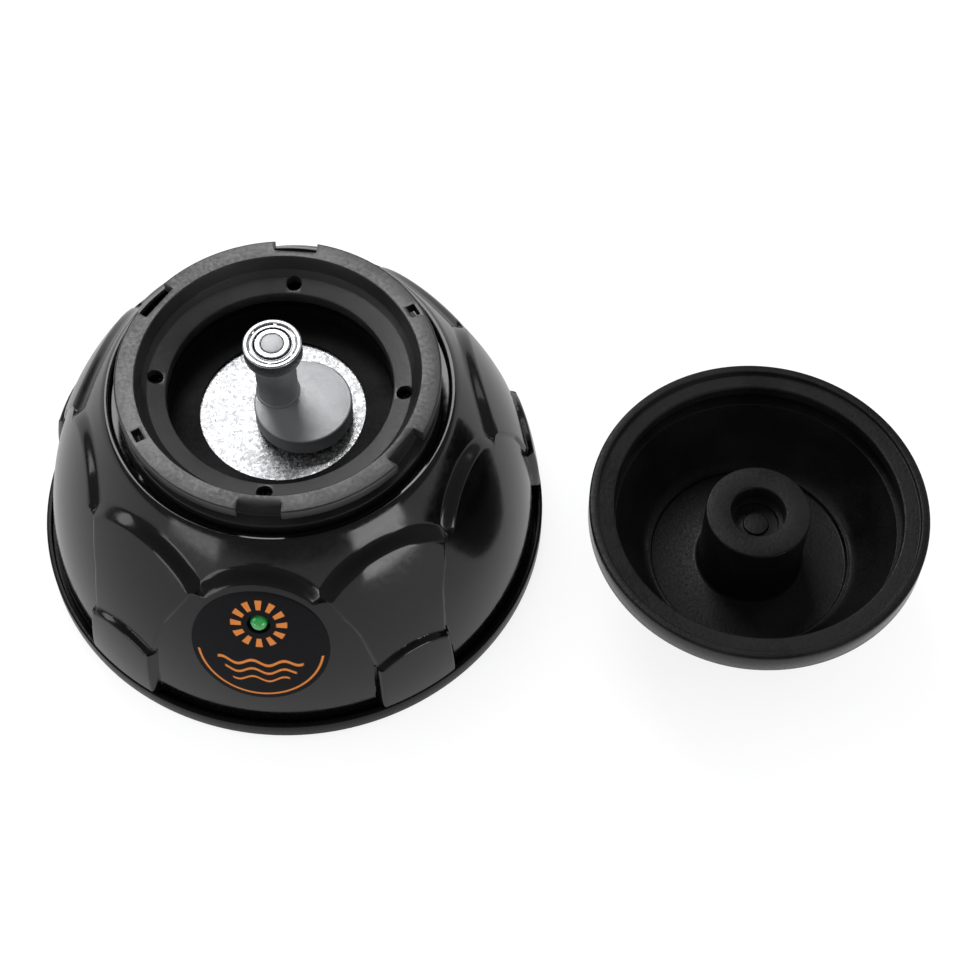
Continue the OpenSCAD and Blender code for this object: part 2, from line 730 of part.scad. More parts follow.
module switch_terminals() {
  color("#c8a24a") at_switch() for (x = [-blade_x, blade_x])
    translate([x - blade[0] / 2, -blade[1] / 2, switch_face - switch_body[2] - blade[2]]) cube(blade);
}

// ---- Leads inside the base: one tube each, swept along a path with rounded corners
lead_d = 1.6;
lamp_lead_d = 1.2;
lead_sides = 8;
corner_steps = 3;
function unit(v) = v / norm(v);
// The path's points, each corner replaced by a short curve between its neighbours
function rounded(p) = concat([p[0]],
  [for (i = [1:len(p) - 2], k = [0:corner_steps]) let (
    r = min(5, norm(p[i] - p[i - 1]) / 2.2, norm(p[i + 1] - p[i]) / 2.2), t = k / corner_steps,
    a = p[i] + r * unit(p[i - 1] - p[i]), b = p[i] + r * unit(p[i + 1] - p[i]))
    a * (1 - t) * (1 - t) + p[i] * 2 * t * (1 - t) + b * t * t],
  [p[len(p) - 1]]);
sweep_up = unit([0.31, 0.42, 0.9]);
module lead(route, d) {
  p = rounded(route);
  n = len(p);
  m = lead_sides;
  rings = [for (i = [0:n - 1]) let (
    v = unit(p[min(i + 1, n - 1)] - p[max(i - 1, 0)]), u = unit(cross(sweep_up, v)), w = cross(v, u))
    for (k = [0:m - 1]) p[i] + d / 2 * (cos(360 * k / m) * u + sin(360 * k / m) * w)];
  sides = [for (i = [0:n - 2], k = [0:m - 1]) let (j = (k + 1) % m)
    each [[i * m + k, (i + 1) * m + k, (i + 1) * m + j], [i * m + k, (i + 1) * m + j, i * m + j]]];
  polyhedron(rings, concat(sides, [for (k = [1:m - 2]) [0, k, k + 1]],
    [for (k = [1:m - 2]) [(n - 1) * m, (n - 1) * m + k + 1, (n - 1) * m + k]]));
}
// A point off the dome's side: x down the side from height z, n along its outward normal
function off_side(angle, z, x, n) = let (
  t = side_tilt(wide_side, z), r = side_r(wide_side, z) + n * cos(t) + x * sin(t))
  [r * cos(angle), r * sin(angle), z + n * sin(t) - x * cos(t)];
function behind_switch(x, n) = off_side(switch_angle, switch_z, x, n);
function behind_lamp(n) = off_side(label_angle, lamp_z, 0, n);
terminal_x = 10;
terminal_t = 0.5;
lead_z = can_bottom - terminal_drop + 1;
lead_floor = 8;
socket_back = side_r(lip_side, socket_z) - socket_seat - socket_l + 1;
pin_step = 2.6;
blade_end = switch_face - switch_body[2] - blade[2];
module supply_lead() {
  color("#a02020") lead([[0, socket_back, socket_z + pin_step], [0, socket_back - 5, socket_z + pin_step],
    behind_switch(-blade_x, blade_end - 7), behind_switch(-blade_x, blade_end)], lead_d);
}
module motor_leads() {
  color("#202020") lead([[0, socket_back, socket_z - pin_step], [0, socket_back - 8, socket_z - pin_step],
    [terminal_x, 22, lead_floor], [terminal_x, 7, lead_z], [terminal_x, terminal_t / 2, lead_z]], lead_d);
  color("#a02020") lead([behind_switch(blade_x, blade_end), behind_switch(blade_x, blade_end - 6),
    [-terminal_x - 4, 18, lead_floor], [-terminal_x, 7, lead_z], [-terminal_x, terminal_t / 2, lead_z]],
    lead_d);
}
board_back = lamp_flange_z - board[2];
module lamp_leads() {
  color("#303030") for (s = [-1, 1]) lead([behind_lamp(board_back) + [s * 3, 0, 0],
    behind_lamp(board_back - 6) + [s * 3, 0, 0], [s * 4, -31, 16], [s * 8, -16, lead_floor],
    [s * terminal_x, -6, lead_z], [s * terminal_x, -terminal_t / 2, lead_z]], lamp_lead_d);
}

// ---- Rubber cup, upside down beside the base
cup_r = lug_d / 2 + cup_over;
band_h = 5.5;
foot_ring_r = bottle_cup_d / 2 + foot_ring_w;
lip_drop = 1;
lip_ring_w = 2;
snap_h = lug_t + 0.3;
snap_z = cup_h - lip_drop - 3;
snap_r = lug_d / 2 + 0.2;
bowl_z = bowl_floor + sqrt(bowl_r * bowl_r - 23.2 * 23.2);
function bowl_at(z) = sqrt(bowl_r * bowl_r - (bowl_z - z) * (bowl_z - z));
bore_depth = 4.6;
pin_relief_d = 10.4;
pin_relief = 1.4;
module rubber_cup() {
  color("#19191a") translate([cup_x, cup_y, 0]) difference() {
    rotate_extrude() polygon(concat([[0, 0], [foot_ring_r, 0]],
      arc([foot_ring_r + 0.5, 0.5], [cup_r, cup_h - band_h], cup_bulge, 12),
      [[cup_r, cup_h - 0.5], [cup_r - 0.5, cup_h], [cup_r - lip_ring_w, cup_h],
      [cup_r - lip_ring_w, cup_h - lip_drop], [0, cup_h - lip_drop]]));
    // Mouth, the groove that takes the lugs, and the bowl
    translate([0, 0, snap_z - eps]) cylinder(d = cup_mouth_d, h = cup_h);
    translate([0, 0, snap_z - snap_h]) cylinder(r = snap_r, h = snap_h);
    difference() {
      rotate_extrude() polygon(concat([[0, bowl_floor]],
        [for (i = [0:12]) let (z = bowl_floor + (snap_z - snap_h - bowl_floor) * i / 12) [bowl_at(z), z]],
        [[bowl_at(snap_z - snap_h), snap_z - snap_h + eps], [0, snap_z - snap_h + eps]]));
      cylinder(d = cup_hub_d, h = cup_h);
    }
    // Bottle recess
    translate([0, 0, -eps]) cylinder(d1 = bottle_cup_d, d2 = bottle_cup_d - 6, h = bottle_cup_depth + eps);
  }
  color("#19191a") translate([cup_x, cup_y, 0]) difference() {
    translate([0, 0, bowl_floor - eps]) cylinder(d = cup_hub_d, h = cup_h - cup_hub_drop - bowl_floor + eps);
    translate([0, 0, cup_h - cup_hub_drop - bore_depth]) cylinder(d = cup_bore_d, h = bore_depth + cut);
    translate([0, 0, cup_h - cup_hub_drop - bore_depth - pin_relief]) difference() {
      cylinder(d = pin_relief_d, h = pin_relief + cut);
      translate([0, 0, -cut]) cylinder(d = 5.8, h = 0.6 + cut);
    }
  }
}

non_slip_pad();
base_plate();
case_screws();
dome_shell();
bayonet_collar();
collar_screws();
motor_mount();
motor_can();
motor_magnets();
front_bush();
end_bell();
rear_bush();
motor_brushes();
motor_terminals();
clamp_bar();
clamp_screws();
motor_shaft();
armature_core();
armature_windings();
commutator();
eccentric_crank();
set_screw();
bearing_inner_ring();
bearing_balls();
bearing_outer_ring();
bearing_shields();
label_disc();
lamp();
lamp_board();
power_socket();
socket_contact_pin();
socket_nut();
switch_housing();
switch_terminals();
rocker();
supply_lead();
motor_leads();
lamp_leads();
rubber_cup();
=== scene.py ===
# %% [markdown]
# # An orbital bottle shaker with its rubber cup taken off
# The real object is a glossy black machine the size of a saucer. A small motor inside turns a crank, a
# ball bearing on the crank wags a rubber cup, and a bottle pushed into the cup is shaken. Here the cup has
# been pulled off and lies upside down beside the machine. The CAD model gives every piece its place. This
# lesson gives each piece that shows its rounded edges, its finish and its light.

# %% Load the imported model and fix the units
import bpy
import math
from mathutils import Matrix, Vector


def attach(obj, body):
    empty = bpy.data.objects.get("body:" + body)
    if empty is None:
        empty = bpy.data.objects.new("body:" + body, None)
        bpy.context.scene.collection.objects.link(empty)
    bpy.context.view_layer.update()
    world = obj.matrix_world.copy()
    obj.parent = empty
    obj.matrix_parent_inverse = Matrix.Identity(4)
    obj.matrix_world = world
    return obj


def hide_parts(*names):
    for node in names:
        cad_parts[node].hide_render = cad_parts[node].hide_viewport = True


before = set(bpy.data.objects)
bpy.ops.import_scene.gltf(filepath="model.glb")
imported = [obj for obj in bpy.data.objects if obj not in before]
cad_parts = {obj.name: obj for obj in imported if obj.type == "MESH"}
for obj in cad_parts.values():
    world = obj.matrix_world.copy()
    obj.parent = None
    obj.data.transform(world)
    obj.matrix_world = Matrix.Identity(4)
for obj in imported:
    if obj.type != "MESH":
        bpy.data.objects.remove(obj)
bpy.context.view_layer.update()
MM = 0.001

# %% [markdown]
# ## Tools for shaping
# An operator acts on everything that is selected, so each helper starts with a clean selection. Most
# pieces here were moulded or turned, so they are round: a section is drawn as a ring of points and spun
# round an upright axis, as a potter or a lathe would do it. Holes are cut with booleans afterwards, and
# edges that a mould can't make sharp are rounded.


# %% Helpers that select, spin, cut and round
ON_AXIS = 0.02  # mm from the axis within which a corner stays sharp
STRAIGHT = math.radians(168)  # a corner as flat as this isn't rounded
MERGE = 2e-6  # points this close, in metres, become one


def deselect():
    if bpy.context.mode != "OBJECT":
        bpy.ops.object.mode_set(mode="OBJECT")
    bpy.ops.object.select_all(action="DESELECT")


def pick(obj):
    deselect()
    obj.select_set(True)
    bpy.context.view_layer.objects.active = obj


def settle(obj):
    """Moves the object's place into its mesh."""
    pick(obj)
    bpy.ops.object.transform_apply(location=True, rotation=True, scale=True)
    return obj


def modify(obj, kind, **settings):
    """Adds a modifier with its settings and applies it."""
    pick(obj)
    mod = obj.modifiers.new(kind.title(), kind)
    for key, value in settings.items():
        setattr(mod, key, value)
    bpy.ops.object.modifier_apply(modifier=mod.name)
    return obj


def softened(points, radius=0.3, steps=3):
    """A closed section with its corners rounded. A third number at a point is that corner's own radius."""
    out = []
    for i, point in enumerate(points):
        p, a, b = (Vector(q[:2]) for q in (point, points[i - 1], points[(i + 1) % len(points)]))
        r = point[2] if len(point) > 2 else radius
        u, v = a - p, b - p
        turn = u.angle(v)
        if p.x < ON_AXIS or r == 0 or turn > STRAIGHT:
            out.append(p)
            continue
        # The curve never takes more than 45% of either side, so that neighbours don't meet.
        reach = min(r / math.tan(turn / 2), u.length * 0.45, v.length * 0.45)
        start, end = p + u.normalized() * reach, p + v.normalized() * reach
        for j in range(steps + 1):
            t = j / steps
            out.append(start * (1 - t) ** 2 + p * 2 * t * (1 - t) + end * t * t)
    return out


def turned(name, section, steps=144, at=(0, 0)):
    """Spins a closed section of (radius, height) points in mm round an upright axis at x, y."""
    deselect()
    bpy.ops.mesh.primitive_circle_add(vertices=len(section), radius=0.01)
    obj = bpy.context.object
    obj.name = name
    for vertex, (r, z) in zip(obj.data.vertices, section):
        vertex.co = ((at[0] + r) * MM, at[1] * MM, z * MM)
    bpy.ops.object.mode_set(mode="EDIT")
    bpy.ops.mesh.select_all(action="SELECT")
    bpy.ops.mesh.spin(steps=steps, angle=2 * math.pi, center=(at[0] * MM, at[1] * MM, 0), axis=(0, 0, 1))
    bpy.ops.mesh.select_all(action="SELECT")
    bpy.ops.mesh.remove_doubles(threshold=MERGE)
    bpy.ops.mesh.normals_make_consistent(inside=False)
    bpy.ops.object.mode_set(mode="OBJECT")
    return obj


def smooth(obj, degrees=32):
    pick(obj)
    bpy.ops.object.shade_smooth_by_angle(angle=math.radians(degrees))
    return obj


def placed(obj, matrix=None):
    """Turns or moves a cutter or piece by a matrix and settles that into its mesh."""
    if matrix is not None:
        obj.matrix_basis = matrix @ obj.matrix_basis
    return settle(obj)


def rod(radius, low, high, x=0, y=0, matrix=None, sides=48):
    """A round bar along Z from low to high, in mm."""
    deselect()
    bpy.ops.mesh.primitive_cylinder_add(vertices=sides, radius=radius * MM, depth=(high - low) * MM,
                                        location=(x * MM, y * MM, (low + high) / 2 * MM))
    return placed(bpy.context.object, matrix)


def block(low, high, matrix=None):
    """A box between two corners in mm."""
    deselect()
    bpy.ops.mesh.primitive_cube_add(size=1, location=[(a + b) / 2 * MM for a, b in zip(low, high)])
    bpy.context.object.scale = [(b - a) * MM for a, b in zip(low, high)]
    return placed(bpy.context.object, matrix)


def carve(obj, cutters, operation="DIFFERENCE"):
    """Cuts the cutters out of obj, or joins them to it, one after the other, and removes them."""
    for cutter in cutters:
        modify(obj, "BOOLEAN", object=cutter, operation=operation, solver="EXACT")
        bpy.data.objects.remove(cutter, do_unlink=True)
    return obj


def rounded(obj, width=0.3, segments=2, degrees=40):
    return modify(obj, "BEVEL", width=width * MM, segments=segments, limit_method="ANGLE",
                  angle_limit=math.radians(degrees))


def turn_z(degrees):
    return Matrix.Rotation(math.radians(degrees), 4, "Z")


def shift(x=0.0, y=0.0, z=0.0):
    """A move by distances in mm."""
    return Matrix.Translation((x * MM, y * MM, z * MM))


def dress(obj, body, look, *nodes, slot=None):
    """The piece rides a body, stands for its CAD nodes and takes its material."""
    obj.data.materials.clear()
    obj.data.materials.append(look)
    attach(obj, body)
    if nodes:
        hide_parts(*nodes)
    print(f"{obj.name}: {len(obj.data.polygons)} faces, {look.name}")


# %% [markdown]
# ## Tools for finishes
# A colour is written as the hex value that a designer would pick, and one function turns it to the linear
# numbers that Blender computes with. Every pattern reads Object coordinates, which are metres here, so a
# scale is one over the size of a grain, scratch or spangle in metres.


# %% Helpers for colours, nodes and surface grain
PATCH = 14  # mm across a patch of slightly different tone


def hex_colour(code):
    parts = [int(code[i:i + 2], 16) / 255 for i in (1, 3, 5)]
    return tuple(c / 12.92 if c <= 0.04045 else ((c + 0.055) / 1.055) ** 2.4 for c in parts) + (1.0,)


def add(tree, kind, inputs=(), **settings):
    """Adds a node. A socket given as an input is linked, and anything else is set on it."""
    made = tree.nodes.new("ShaderNode" + kind)
    for key, value in settings.items():
        setattr(made, key, value)
    for key, value in dict(inputs).items():
        if isinstance(value, bpy.types.NodeSocket):
            tree.links.new(value, made.inputs[key])
        else:
            made.inputs[key].default_value = value
    return made


def ramp(tree, value, stops):
    """A colour ramp from (place, grey or hex colour) pairs."""
    made = add(tree, "ValToRGB", {"Fac": value})
    points = made.color_ramp.elements
    while len(points) < len(stops):
        points.new(0.5)
    for point, (place, colour) in zip(points, stops):
        point.position = place
        point.color = hex_colour(colour) if isinstance(colour, str) else (colour, colour, colour, 1)
    return made.outputs["Color"]


def surface(name, colour, roughness, grain_mm, rough_spread=0.08, bump=0.02, **shader):
    """A material whose roughness and height vary with a noise of one grain size, in mm."""
    made = bpy.data.materials.new(name)
    made.use_nodes = True
    tree = made.node_tree
    skin = tree.nodes["Principled BSDF"]
    where = add(tree, "TexCoord").outputs["Object"]
    grain = add(tree, "TexNoise", {"Vector": where, "Scale": 1 / (grain_mm * MM), "Detail": 4.0})
    patches = add(tree, "TexNoise", {"Vector": where, "Scale": 1 / (PATCH * MM), "Detail": 3.0})
    mixed = add(tree, "Math", {0: grain.outputs["Fac"], 1: patches.outputs["Fac"]}, operation="MULTIPLY")
    low, high = max(0.02, roughness - rough_spread), min(1, roughness + rough_spread)
    # The product of the two noises lies mostly between 0.15 and 0.4.
    spread = add(tree, "MapRange", {"Value": mixed.outputs[0], "From Min": 0.15, "From Max": 0.4,
                                    "To Min": low, "To Max": high})
    tree.links.new(spread.outputs["Result"], skin.inputs["Roughness"])
    if isinstance(colour, str):
        skin.inputs["Base Color"].default_value = hex_colour(colour)
    else:
        tint = ramp(tree, patches.outputs["Fac"], [(0.35, colour[0]), (0.65, colour[1])])
        tree.links.new(tint, skin.inputs["Base Color"])
    bumped = add(tree, "Bump", {"Height": grain.outputs["Fac"], "Distance": bump * MM, "Strength": 1.0})
    tree.links.new(bumped.outputs["Normal"], skin.inputs["Normal"])
    for key, value in shader.items():
        skin.inputs[key.replace("_", " ")].default_value = value
    return made


def object_place(tree):
    """The Object coordinates that surface() put into a material's tree."""
    return next(n for n in tree.nodes if n.bl_idname == "ShaderNodeTexCoord").outputs["Object"]


# %% [markdown]
# ## Camera
# The photograph looks down on the table at about 59 degrees through a medium lens. The camera was solved
# from the round edges of the base and the collar, which are circles of known height. It stands in the
# machine's own frame, in which the label faces -Y.

# %% Place the camera
PITCH, ROLL = math.radians(59.1144), math.radians(-0.9054)
HEADING = 3.2  # degrees
SENSOR, FOCAL = 36, 80.82  # mm
STAND = (0.06230, -0.26809, 0.466007)
ahead = Vector((0, math.cos(PITCH), -math.sin(PITCH)))
right0, down0 = Vector((1, 0, 0)), Vector((0, -math.sin(PITCH), -math.cos(PITCH)))
right = math.cos(ROLL) * right0 + math.sin(ROLL) * down0
down = -math.sin(ROLL) * right0 + math.cos(ROLL) * down0
lens = bpy.data.cameras.new("camera")
lens.sensor_width, lens.lens, lens.clip_start = SENSOR, FOCAL, 0.01
camera = bpy.data.objects.new("camera", lens)
bpy.context.scene.collection.objects.link(camera)
turned_in = Matrix((right, -down, -ahead)).transposed().to_4x4()
camera.matrix_world = Matrix.Translation(STAND) @ turn_z(HEADING) @ turned_in
bpy.context.scene.camera = camera
print("camera at", [round(c, 4) for c in camera.matrix_world.translation])

# %% [markdown]
# ## Finishes
# The dome is ABS plastic out of a polished mould: nearly black, with a glossy skin that mirrors the room.
# The collar and the inner parts come from a matt mould, which gives a soft grey sheen. The cup is moulded
# rubber, dull inside and polished outside. The motor's can is zinc-plated, and the plating freezes into
# spangles about half a millimetre across that catch the light one by one.

# %% Plastics and rubber
CUP = (109.4, -10.4)  # mm, the middle of the cup on the table
dome_gloss = surface("polished_black_abs", "#060607", 0.14, 1.2, 0.05, 0.004, IOR=1.5)
tray_satin = surface("satin_black_abs", "#0e0e0f", 0.28, 0.5, 0.08, 0.01, IOR=1.5, Specular_IOR_Level=0.12)
collar_matt = surface("moulded_dark_nylon", ("#121213", "#1e1e1f"), 0.42, 0.9, 0.08, 0.02, IOR=1.52,
                      Specular_IOR_Level=0.75)
inner_matt = surface("moulded_black_abs", "#050505", 0.62, 0.4, 0.1, 0.02, IOR=1.5, Specular_IOR_Level=0.2)


def nitrile_rubber():
    """Dull and a little mottled inside. The outside comes from a polished half of the mould and mirrors the
    table. The side leans outwards, so the radius less a share of the height tells outside from inside. That
    test also takes in most of the groove inside the lip."""
    lean, edge_in, edge_out = -0.46, 21.8 * MM, 22.3 * MM
    rim_dull, rim_polished = 34.4 * MM, 33.9 * MM
    polished = (0.13, 0.13, 0.13, 1)  # a roughness, as a grey
    made = surface("moulded_nitrile_rubber", ("#090909", "#111111"), 0.48, 0.8, 0.14, 0.05, IOR=1.52,
                   Specular_IOR_Level=0.3)
    tree = made.node_tree
    skin = tree.nodes["Principled BSDF"]
    dull = skin.inputs["Roughness"].links[0].from_socket
    centred = add(tree, "Mapping", {"Vector": object_place(tree), "Location": [-c * MM for c in CUP] + [0]})
    axes = add(tree, "SeparateXYZ", {"Vector": centred.outputs["Vector"]})
    flat = add(tree, "CombineXYZ", {"X": axes.outputs["X"], "Y": axes.outputs["Y"]}).outputs["Vector"]
    radius = add(tree, "VectorMath", {0: flat}, operation="LENGTH").outputs["Value"]
    taper = add(tree, "Math", {0: axes.outputs["Z"], 1: lean, 2: radius}, operation="MULTIPLY_ADD").outputs[0]
    outside = add(tree, "MapRange", {"Value": taper, "From Min": edge_in, "From Max": edge_out})
    below_rim = add(tree, "MapRange", {"Value": axes.outputs["Z"], "From Min": rim_dull,
                                       "From Max": rim_polished})
    share = add(tree, "Math", {0: outside.outputs["Result"], 1: below_rim.outputs["Result"]},
                operation="MULTIPLY").outputs[0]
    mixed = add(tree, "MixRGB", {"Fac": share, "Color1": dull, "Color2": polished})
    tree.links.new(mixed.outputs["Color"], skin.inputs["Roughness"])
    return made


cup_rubber = nitrile_rubber()
pad_rubber = surface("foam_rubber_pad", ("#161617", "#202021"), 0.85, 0.8, 0.08, 0.12, IOR=1.5)
lead_black = surface("black_pvc_sleeve", "#141415", 0.42, 0.4, 0.08, 0.01)
lead_red = surface("red_pvc_sleeve", "#a3201c", 0.4, 0.4, 0.08, 0.01)
rocker_red = surface("glossy_red_abs", "#9c1712", 0.22, 0.6, 0.06, 0.004, IOR=1.5)
board_green = surface("green_circuit_board", ("#1d5a33", "#23683b"), 0.4, 0.6, 0.1, 0.01)
print("plastics and rubber ready")

# %% [markdown]
# Metals need a pattern that the light can catch. Turned and ground parts get a fine grain, and the zinc gets
# cells of differing brightness and tilt.

# %% Metals
crank_steel = surface("sintered_steel", ("#aeafb1", "#c3c4c6"), 0.58, 0.25, 0.12, 0.02, Metallic=1.0)
bearing_steel = surface("ground_bearing_steel", "#c9cacc", 0.3, 0.5, 0.05, 0.0008, Metallic=1.0)
plated_steel = surface("nickel_plated_steel", "#b5b6b9", 0.3, 0.3, 0.1, 0.01, Metallic=1.0)
black_steel = surface("black_oxide_steel", "#111112", 0.5, 0.3, 0.1, 0.01, Metallic=1.0)
bronze = surface("sintered_bronze", ("#8f6d3c", "#a8844c"), 0.42, 0.2, 0.1, 0.02, Metallic=1.0)
brass = surface("tinned_brass", "#c2a566", 0.3, 0.3, 0.1, 0.01, Metallic=1.0)
copper = surface("enamelled_copper_wire", ("#8a4a24", "#b3683a"), 0.35, 0.3, 0.1, 0.05, Metallic=1.0)
ferrite = surface("ferrite_magnet", ("#2b2b2e", "#37373a"), 0.7, 0.4, 0.1, 0.03)


def spangled_zinc():
    """Cells of frozen zinc about half a millimetre across, each with its own grey and slight tilt."""
    made = surface("spangled_zinc_plate", "#c4c5c7", 0.34, 0.5, 0.1, 0.006, Metallic=1.0)
    tree = made.node_tree
    skin = tree.nodes["Principled BSDF"]
    where = object_place(tree)
    cells = add(tree, "TexVoronoi", {"Vector": where, "Scale": 1 / (0.6 * MM), "Randomness": 1.0})
    fine = add(tree, "TexVoronoi", {"Vector": where, "Scale": 1 / (0.33 * MM), "Randomness": 1.0})
    grey = add(tree, "SeparateColor", {"Color": cells.outputs["Color"]}).outputs["Red"]
    fine_grey = add(tree, "SeparateColor", {"Color": fine.outputs["Color"]}).outputs["Green"]
    both = add(tree, "Math", {0: grey, 1: fine_grey}, operation="ADD").outputs[0]
    half = add(tree, "Math", {0: both, 1: 0.5}, operation="MULTIPLY").outputs[0]
    tree.links.new(ramp(tree, half, [(0.2, "#7c7d7f"), (0.5, "#a6a7a9"), (0.8, "#dcdcde")]),
                   skin.inputs["Base Color"])
    shine = add(tree, "MapRange", {"Value": fine_grey, "To Min": 0.22, "To Max": 0.5})
    tree.links.new(shine.outputs["Result"], skin.inputs["Roughness"])
    tilt = add(tree, "Bump", {"Height": half, "Distance": 0.03 * MM, "Strength": 0.6})
    tree.links.new(tilt.outputs["Normal"], skin.inputs["Normal"])
    return made


zinc = spangled_zinc()
print("metals ready")

# %% [markdown]
# ## Dome
# The shell is one moulding: a domed wall with five wide panels and five narrow ones that stand out a
# little more, each ending in a round arch, over a smooth neck. Cutting such soft steps with booleans
# would leave hard edges, so the wall is spun finely first and its points are then moved outwards. How far
# a point moves depends on which panel it is in and how far it is from that panel's edge.

# %% The wall's curves and the panels' outlines, in mm
FOOT, HEAD = (57.6, 5.6), (39.3, 56.0)  # radius and height at the wall's two ends
PANELS = 5  # wide ones, and as many narrow ones between them
PITCH_DEG = 360 / PANELS
ARCH_Z, ARCH_TOP = 42.5, 49.6  # where the arches start, and the crown of a narrow panel's
WIDE_TOP_W, WIDE_TOP_DROP = 13.4, 0.6  # half width of a wide panel's arch, and how much lower its crown is
RIB_H, RIB_W = (4.6, 21.0, 32.0, 42.5), (10.4, 9.7, 11.6, 16.0)  # half widths of a narrow panel by height
LIP_Z, LIP_CROWN = 20.6, 24.2  # the raised foot of a narrow panel: its arch's start and crown
LIP_LEAN = 0.04  # how much wider its foot gets per mm of height, downwards
STEP_SOFT, LIP_SOFT = 1.5, 1.3  # half widths of the soft steps
DEEP = 9.0  # far enough inside a panel for its full height


def arc(p, q, bulge):
    """Centre and radius of the arc from p to q that bulges out by that much."""
    half = (q - p).length / 2
    r = (half * half + bulge * bulge) / (2 * bulge)
    out = Vector(((q - p).y, -(q - p).x)).normalized()
    return (p + q) / 2 - out * (r - bulge), r


def arc_radius(z, out_foot, out_head, bulge):
    """Radius at height z of the arc from the foot to the head, both moved outwards."""
    c, r = arc(Vector((FOOT[0] + out_foot, FOOT[1])), Vector((HEAD[0] + out_head, HEAD[1])), bulge)
    return c.x + math.sqrt(max(0, r * r - (z - c.y) ** 2))


# Each kind of wall lies out from the neck by one distance at the foot and one at the head, and bulges more.
def neck_r(z):
    return arc_radius(z, 0, 0, 3.0)


def wide_r(z):
    return arc_radius(z, 0.2, 0.9, 3.9)


def rib_r(z):
    return arc_radius(z, 1.0, 0.9, 4.1)


def lip_r(z):
    return arc_radius(z, 2.1, 1.8, 4.4)


def between(z, heights, values):
    """The value at z on a line of straight pieces, which runs on past its ends."""
    for i in range(len(heights) - 1):
        if z <= heights[i + 1] or i == len(heights) - 2:
            t = (z - heights[i]) / (heights[i + 1] - heights[i])
            return values[i] + (values[i + 1] - values[i]) * t


def arch_depth(x, z, width, start, crown):
    """How far inside a round arch the point is. The arch has this half width where it starts."""
    h = crown - start
    r = (width * width + h * h) / (2 * h)
    return r - math.hypot(x, z - (crown - r))


def step(d, soft):
    """0 outside, 1 inside, with a smooth edge of that half width."""
    t = min(1, max(0, (d + soft) / (2 * soft)))
    return t * t * (3 - 2 * t)


def dome_r(angle, z):
    """The wall's radius at an angle in degrees and a height in mm."""
    neck = neck_r(z)
    from_wide = (angle + 90 + PITCH_DEG / 2) % PITCH_DEG - PITCH_DEG / 2
    from_rib = (angle + 90) % PITCH_DEG - PITCH_DEG / 2
    x = rib_r(z) * math.sin(math.radians(from_wide))
    inside = DEEP if z < ARCH_Z else arch_depth(x, z, WIDE_TOP_W, ARCH_Z, ARCH_TOP - WIDE_TOP_DROP)
    wide = (wide_r(z) - neck) * step(inside, STEP_SOFT)
    x = rib_r(z) * math.sin(math.radians(from_rib))
    side = between(z, RIB_H, RIB_W) - abs(x)
    inside = side if z < ARCH_Z else min(side, arch_depth(x, z, RIB_W[3], ARCH_Z, ARCH_TOP))
    rib = (rib_r(z) - neck) * step(inside, STEP_SOFT)
    side = RIB_W[1] + (LIP_Z - z) * LIP_LEAN - abs(x)
    inside = side if z < LIP_Z else min(side, arch_depth(x, z, RIB_W[1], LIP_Z, LIP_CROWN))
    lip = (lip_r(z) - neck) * step(inside, LIP_SOFT)
    return neck + max(0.0, wide, rib, lip)


LABEL_R, LABEL_Z = 16.0, 30.8  # mm, the round label's radius and the height of its middle
print("wall at the label:", round(dome_r(-90, LABEL_Z), 2), "mm; at a narrow panel:",
      round(dome_r(-54, LABEL_Z), 2))

# %% Spin the wall and push the panels out
WALL = 2.4
DECK_Z = 53.5  # the deck inside the rim, which carries the collar
BANDS = [(5.62, 5.98, 4), (6.4, 19, 15), (19.2, 25.4, 24), (25.8, 41, 18), (41.2, 50.4, 33), (51.2, 55.3, 5)]
rows = [low + (high - low) * k / (n - 1) for low, high, n in BANDS for k in range(n)]
outer = [(FOOT[0], 3.4), (FOOT[0], 4.6), (FOOT[0], 5.58)] + [(neck_r(z), z) for z in rows]
rim = [(39.25, 55.8), (39.05, 56.0), (38.25, 56.0), (38.05, 55.85), (38.0, 55.6), (38.0, 54.0), (37.8, 53.55),
       (37.5, DECK_Z), (31.0, DECK_Z), (25.7, DECK_Z), (25.7, 51.0), (31.0, 51.0)]
inner = [(neck_r(z) - WALL, z) for z in (51.0, 46, 40, 33, 26, 18, 10, 5.6)] + [(55.2, 3.4)]


def gathered(angle, z):
    """Draws the columns of points together along a narrow panel's edge, so that its step is smooth.
    The columns from 14 to 22 degrees off its middle go to the 2.8 degrees round the edge."""
    half = PITCH_DEG / 2
    u = (angle + 90) % PITCH_DEG - half
    width = between(min(z, ARCH_Z), RIB_H, RIB_W)
    edge = math.degrees(math.asin(width / rib_r(max(6, min(z, ARCH_Z)))))
    new = between(abs(u), (0, 14, 22, half), (0, edge - 1.4, edge + 1.4, half))
    share = min(1, max(0, (54 - z) / 5))  # none near the rim, all of it 5 mm further down
    return angle + (math.copysign(new, u) - u) * share


dome = turned("dome_shell_moulding", outer + rim + inner, steps=720)
for vertex in dome.data.vertices:
    x, y, z = (c / MM for c in vertex.co)
    r = math.hypot(x, y)
    if z < 55.5 and r > neck_r(max(z, FOOT[1])) - WALL / 2:
        angle = gathered(math.degrees(math.atan2(y, x)), z)
        if z > FOOT[1]:
            r = dome_r(angle, z)
        vertex.co.x = r * math.cos(math.radians(angle)) * MM
        vertex.co.y = r * math.sin(math.radians(angle)) * MM
print("dome points:", len(dome.data.vertices))


# %% Cut the openings for the lamp, the switch and the power socket
def on_side(angle, z, curve):
    """A frame on the wall: Z outwards, X down the side, Y round it. The wall's slope is taken over 8 mm."""
    tilt = math.atan2(curve(z - 4) - curve(z + 4), 8)
    return turn_z(angle) @ shift(curve(z), 0, z) @ Matrix.Rotation(math.pi / 2 - tilt, 4, "Y")


